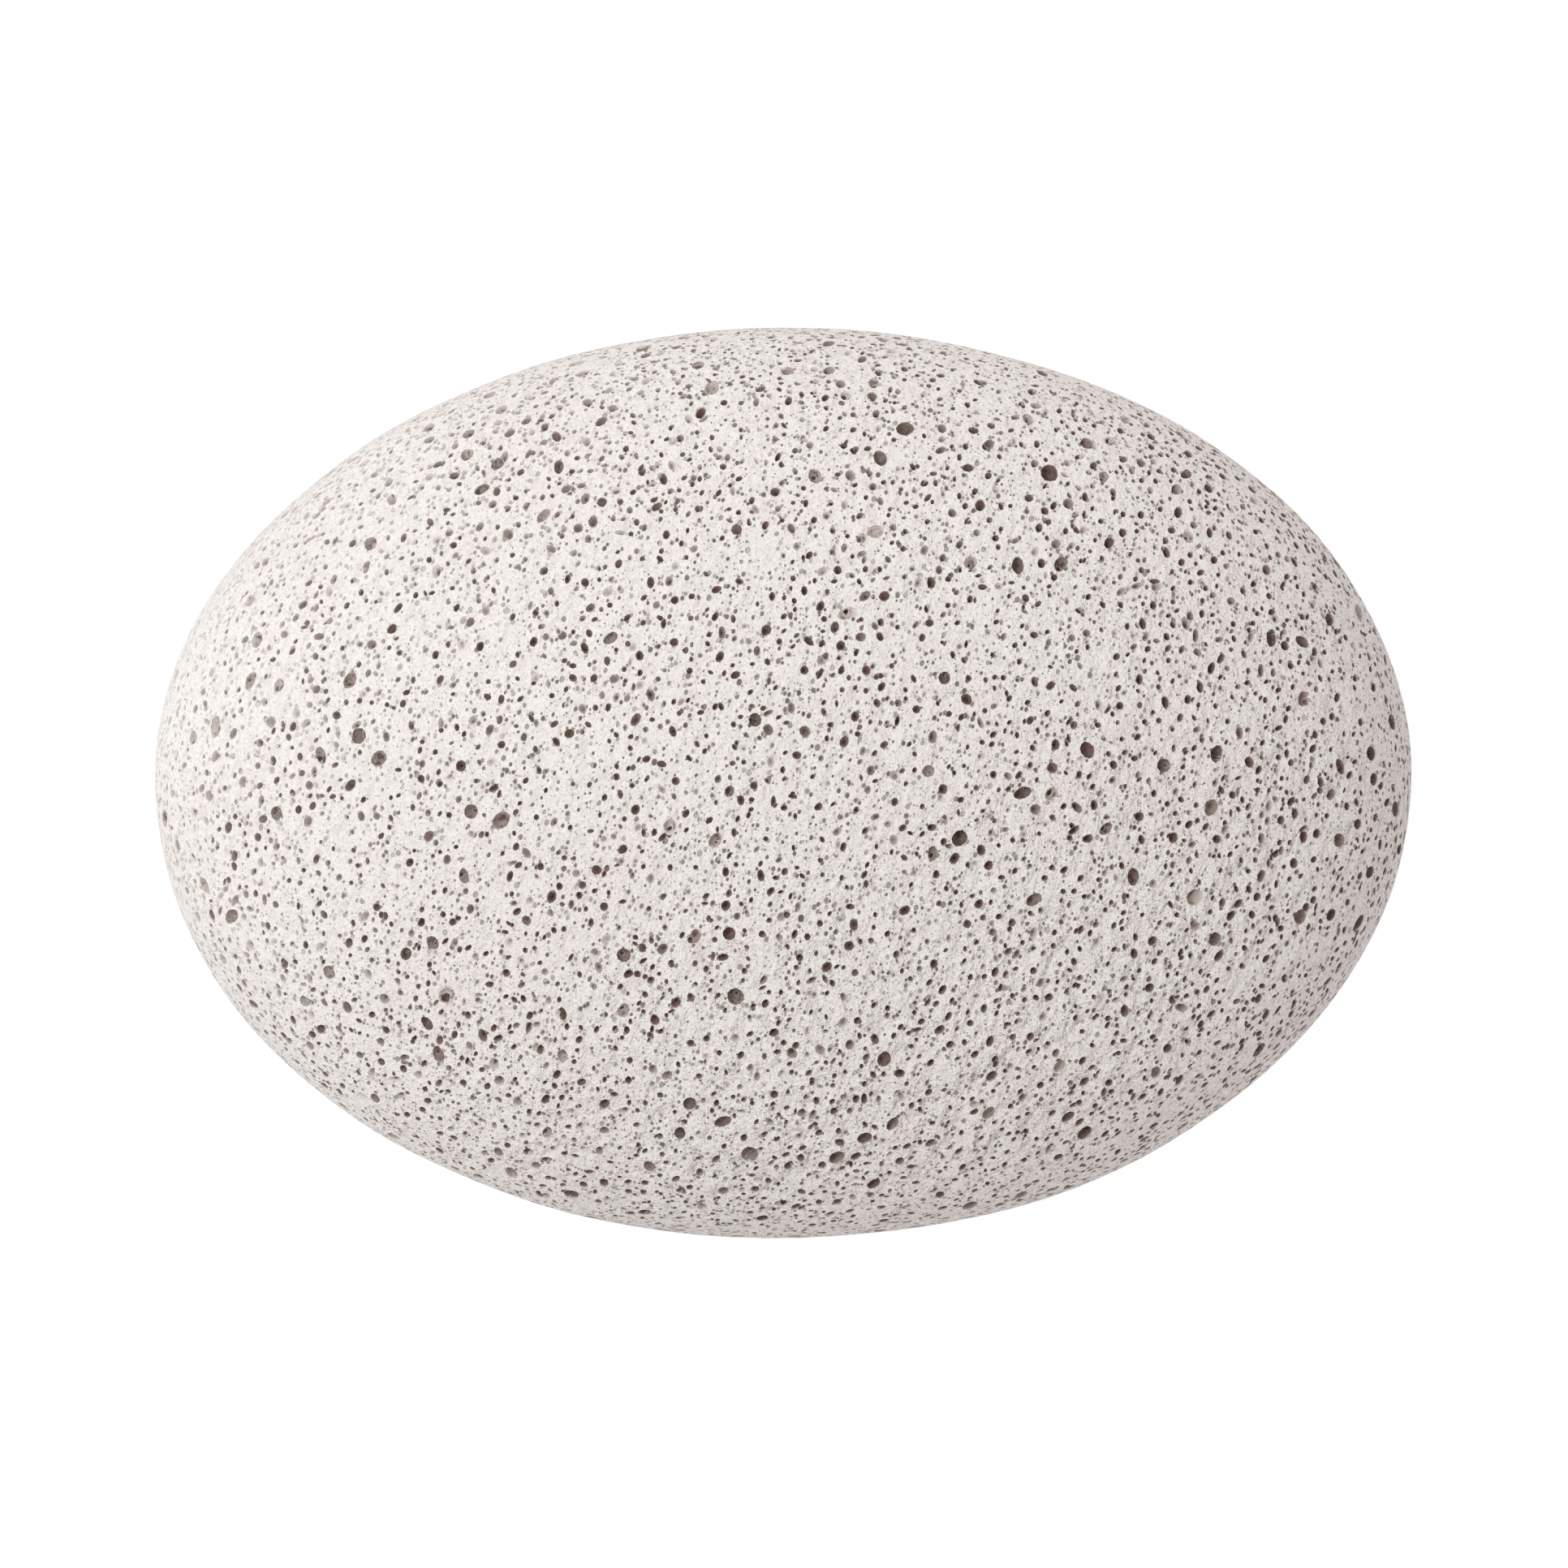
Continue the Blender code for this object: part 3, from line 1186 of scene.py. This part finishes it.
@dataclass
class PumiceStone:
    """The fine stone: the blank, cut by two layers of bubbles, and dressed.

    Attributes:
        form: The pebble's outer form.
        skin: The finish of the ground skin.
        pore: The finish of the pores.
        chart_lean: How readily a slope goes on a chart of each axis.
        least_edge: Edges shorter than this are closed up.
    """

    form: PebbleForm = field(default_factory=PebbleForm)
    skin: SkinFinish = field(default_factory=SkinFinish)
    pore: PoreFinish = field(default_factory=PoreFinish)
    chart_lean: tuple[float, float, float] = (1.0, 1.0, 1.3)
    least_edge: float = 0.002 * MM

    def cut(self, blank: bpy.types.Object) -> bpy.types.Mesh:
        """Cut every pore out of the blank.

        Args:
            blank: The pebble before its pores.

        Returns:
            The cut mesh, in triangles.
        """
        makers = PoreCutters()
        cutters = [makers.build(seats) for seats in PoreField(self.form).layers()]
        finishes = (self.skin.build(), self.pore.build())
        for data in (blank.data, *(cutter.data for cutter in cutters)):
            for finish in finishes:
                data.materials.append(finish)
        for cutter in cutters:
            bore = blank.modifiers.new("open_pores", "BOOLEAN")
            bore.operation = "DIFFERENCE"
            bore.solver = "MANIFOLD"
            bore.object = cutter
        scene = bpy.context.evaluated_depsgraph_get()
        cut = bpy.data.meshes.new_from_object(blank.evaluated_get(scene))
        for cutter in cutters:
            bpy.data.meshes.remove(cutter.data)
        makers.discard()
        return cut

    def uncrowd(self, mesh: bmesh.types.BMesh, source: bmesh.types.BMLayerItem) -> None:
        """Turn each diagonal that lies along another edge, so that two faces meet at each.

        Args:
            mesh: The cut mesh, in triangles.
            source: The layer that tells which face of the cut each triangle is from.
        """
        for edge in [edge for edge in mesh.edges if len(edge.link_faces) > 2]:
            sources = [face[source] for face in edge.link_faces]
            one, other = (f for f in edge.link_faces if f[source] == max(sources, key=sources.count))
            start = next(loop for loop in one.loops if loop.edge is edge)
            first, last, top = start.vert, start.link_loop_next.vert, start.link_loop_prev.vert
            bottom = next(vert for vert in other.verts if vert not in edge.verts)
            mesh.faces.new((first, bottom, top), one)
            mesh.faces.new((bottom, last, top), one)
            bmesh.ops.delete(mesh, geom=[one, other], context="FACES_ONLY")

    def tidy(self, data: bpy.types.Mesh) -> None:
        """Triangulate the cut mesh, close it, and mark every rim as a sharp edge.

        Args:
            data: The cut mesh.
        """
        mesh = bmesh.new()
        mesh.from_mesh(data)
        source = mesh.faces.layers.int.new("source")
        for face in mesh.faces:
            face[source] = face.index
        bmesh.ops.triangulate(mesh, faces=mesh.faces[:])
        bmesh.ops.dissolve_degenerate(mesh, dist=self.least_edge, edges=mesh.edges[:])
        bmesh.ops.triangulate(mesh, faces=mesh.faces[:])
        self.uncrowd(mesh, source)
        mesh.faces.layers.int.remove(source)
        bmesh.ops.holes_fill(mesh, edges=mesh.edges[:], sides=3)
        for face in mesh.faces:
            face.smooth = True
        for edge in mesh.edges:
            edge.smooth = len({face.material_index for face in edge.link_faces}) == 1
        mesh.to_mesh(data)
        mesh.free()

    def tree_of(self, blank: bpy.types.Mesh) -> BVHTree:
        """The tree that finds the blank's face nearest to a point."""
        faces = [face.vertices[:] for face in blank.polygons]
        return BVHTree.FromPolygons([vert.co for vert in blank.vertices], faces)

    def shade(self, data: bpy.types.Mesh, blank: bpy.types.Mesh, tree: BVHTree) -> None:
        """Shade the skin as the round blank is shaded, and leave the pores' own shading.

        Args:
            data: The cut mesh.
            blank: The pebble before its pores.
            tree: Finds the blank's face nearest to a point.
        """
        normals = read_rows(data.corner_normals, "vector", np.float32)
        on_skin = np.repeat(read_values(data.polygons, "material_index") == Slot.SKIN.value, 3)
        corners = read_values(data.loops, "vertex_index")
        smooth = np.zeros((len(data.vertices), 3), np.float32)
        for index in np.unique(corners[on_skin]):
            point = data.vertices[index].co
            face = blank.polygons[tree.find_nearest(point)[2]]
            around = [blank.vertices[i] for i in face.vertices]
            weights = poly_3d_calc([vert.co for vert in around], point)
            smooth[index] = sum((v.normal * w for v, w in zip(around, weights)), Vector()).normalized()
        normals[on_skin] = smooth[corners[on_skin]]
        data.normals_split_custom_set(normals)

    def unwrap(self, data: bpy.types.Mesh, blank: bpy.types.Mesh, tree: BVHTree) -> None:
        """Lay the stone flat on six charts, one for each side, with the crown the largest.

        A pore goes where the skin round it goes, so the charts don't overlap.

        Args:
            data: The cut mesh.
            blank: The pebble before its pores.
            tree: Finds the blank's face nearest to a point.
        """
        facing = np.array([blank.polygons[tree.find_nearest(f.center)[2]].normal for f in data.polygons])
        axis = np.abs(facing * self.chart_lean).argmax(axis=1)
        sign = np.sign(facing[np.arange(len(axis)), axis])
        points = read_rows(data.vertices, "co", np.float32)
        corners = read_values(data.loops, "vertex_index")
        layout = np.empty((len(data.loops), 2), np.float32)
        box = points.min(axis=0), points.max(axis=0)
        for chart in CHARTS:
            on_chart = np.repeat((axis == chart.axis) & (sign == chart.sign), 3)
            layout[on_chart] = chart.place(points[corners[on_chart]], *box)
        data.uv_layers.new(name="OFBake").uv.foreach_set("vector", layout.ravel())

    def build(self) -> bpy.types.Object:
        """Make the fine stone.

        Returns:
            The stone's object, riding on its body.
        """
        blank = new_object("blank", self.form.blank())
        cut = self.cut(blank)
        self.tidy(cut)
        tree = self.tree_of(blank.data)
        self.shade(cut, blank.data, tree)
        self.unwrap(cut, blank.data, tree)
        cut.name = "fine_stone"
        bpy.data.meshes.remove(blank.data)
        stone = bpy.data.objects.new("fine_stone", cut)
        bpy.context.collection.objects.link(stone)
        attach(stone, "root")
        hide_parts(STONE_NODE)
        LOG.info("%s: %d triangles", stone.name, len(cut.polygons))
        return stone


# --------------------------------------------------------------------------- studio


@dataclass
class Studio:
    """A plain white floor, soft light from the upper left, and a camera straight above.

    Attributes:
        stone_share: How much of the frame's width the stone takes.
        camera_height: Height of the camera over the stone's widest line.
        centre: Where the stone's middle is in the frame, right and up, of its width.
        sky: Strength of the even light from all round.
        sky_colour: Its colour, a trace warm.
        floor_size: Width of the floor.
        floor_colour: Its colour as the light sees it.
        floor_roughness: Its roughness.
        floor_glow: How much it glows.
        seen_glow: How bright the glow is that only the camera sees.
        seen_share: How much of what the camera sees of the floor is that glow.
        key_place: Where the large soft light is.
        key_size: Its width.
        key_power: Its power in watts.
        key_colour: Its colour, a trace cool.
    """

    stone_share: float = 0.8002
    camera_height: float = 0.75
    centre: tuple[float, float] = (-0.001, 0.0)
    sky: float = 0.732
    sky_colour: Colour = (1.0, 0.947, 0.944, 1)
    floor_size: float = 6.0
    floor_colour: Colour = (0.80, 0.80, 0.80, 1)
    floor_roughness: float = 0.9
    floor_glow: float = 0.21
    seen_glow: float = 1.05
    seen_share: float = 0.85
    key_place: Vector = field(default_factory=lambda: Vector((-0.70, 0.24, 1.18)))
    key_size: float = 0.6
    key_power: float = 8.8
    key_colour: tuple[float, float, float] = (0.93, 1.0, 0.99)

    def camera(self, form: PebbleForm) -> bpy.types.Object:
        """Make the camera.

        Args:
            form: The pebble, which the camera frames.

        Returns:
            The camera.
        """
        data = bpy.data.cameras.new("camera")
        data.lens = data.sensor_width * self.camera_height / (form.length / self.stone_share)
        data.clip_start = 0.01
        data.shift_x, data.shift_y = (-part for part in self.centre)
        camera = bpy.data.objects.new("camera", data)
        camera.location = (0, 0, form.seat_drop + self.camera_height)
        bpy.context.collection.objects.link(camera)
        bpy.context.scene.camera = camera
        return camera

    def floor(self) -> bpy.types.Object:
        """Make the floor, which looks a little brighter to the camera than it is lit.

        Returns:
            The floor.
        """
        mesh = bmesh.new()
        bmesh.ops.create_grid(mesh, size=self.floor_size / 2)
        floor = new_object("floor", mesh)
        material = bpy.data.materials.new("white_floor")
        material.use_nodes = True
        wiring = Wiring(material.node_tree)
        shader = material.node_tree.nodes["Principled BSDF"]
        wiring.feed(shader.inputs["Base Color"], self.floor_colour)
        wiring.feed(shader.inputs["Roughness"], self.floor_roughness)
        wiring.feed(shader.inputs["Emission Color"], (1, 1, 1, 1))
        wiring.feed(shader.inputs["Emission Strength"], self.floor_glow)
        glow = wiring.add("Emission", {"Color": (1, 1, 1, 1), "Strength": self.seen_glow})
        seen = wiring.times(wiring.add("LightPath").outputs["Is Camera Ray"], self.seen_share)
        mixed = wiring.add("MixShader", {0: seen, 1: shader.outputs[0], 2: glow.outputs[0]})
        output = material.node_tree.nodes["Material Output"]
        wiring.tree.links.new(mixed.outputs[0], output.inputs["Surface"])
        floor.data.materials.append(material)
        floor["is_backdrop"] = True
        return floor

    def lights(self) -> bpy.types.Object:
        """Make the even sky and the soft key light.

        Returns:
            The key light.
        """
        world = bpy.data.worlds.new("sky")
        world.use_nodes = True
        world.node_tree.nodes["Background"].inputs["Color"].default_value = self.sky_colour
        world.node_tree.nodes["Background"].inputs["Strength"].default_value = self.sky
        bpy.context.scene.world = world
        data = bpy.data.lights.new("key", "AREA")
        data.shape = "DISK"
        data.size = self.key_size
        data.energy = self.key_power
        data.color = self.key_colour
        key = bpy.data.objects.new("key", data)
        key.location = self.key_place
        key.rotation_euler = (-self.key_place).to_track_quat("-Z", "Y").to_euler()
        bpy.context.collection.objects.link(key)
        return key

    def build(self, form: PebbleForm) -> None:
        """Set the studio up round the stone.

        Args:
            form: The pebble, which the camera frames.
        """
        bpy.context.scene.view_settings.view_transform = "Standard"
        self.camera(form)
        self.floor()
        self.lights()


def write_sizes() -> None:
    """Work out the plain solid's box and the fine stone's, and keep neither."""
    boxes = {
        name: [list(corner) for corner in box]
        for name, box in (("cad_box", CAD_BOX), ("visual_box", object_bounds()))
    }


def main() -> None:
    """Build the stone and the studio, and report each piece."""
    logging.basicConfig(level=logging.INFO, format="%(name)s: %(message)s")
    stone = PumiceStone()
    piece = stone.build()
    LOG.info("%s: %.1f x %.1f x %.1f mm", piece.name, *(side / MM for side in piece.dimensions))
    Studio().build(stone.form)
    write_sizes()


if __name__ == "__main__":
    main()
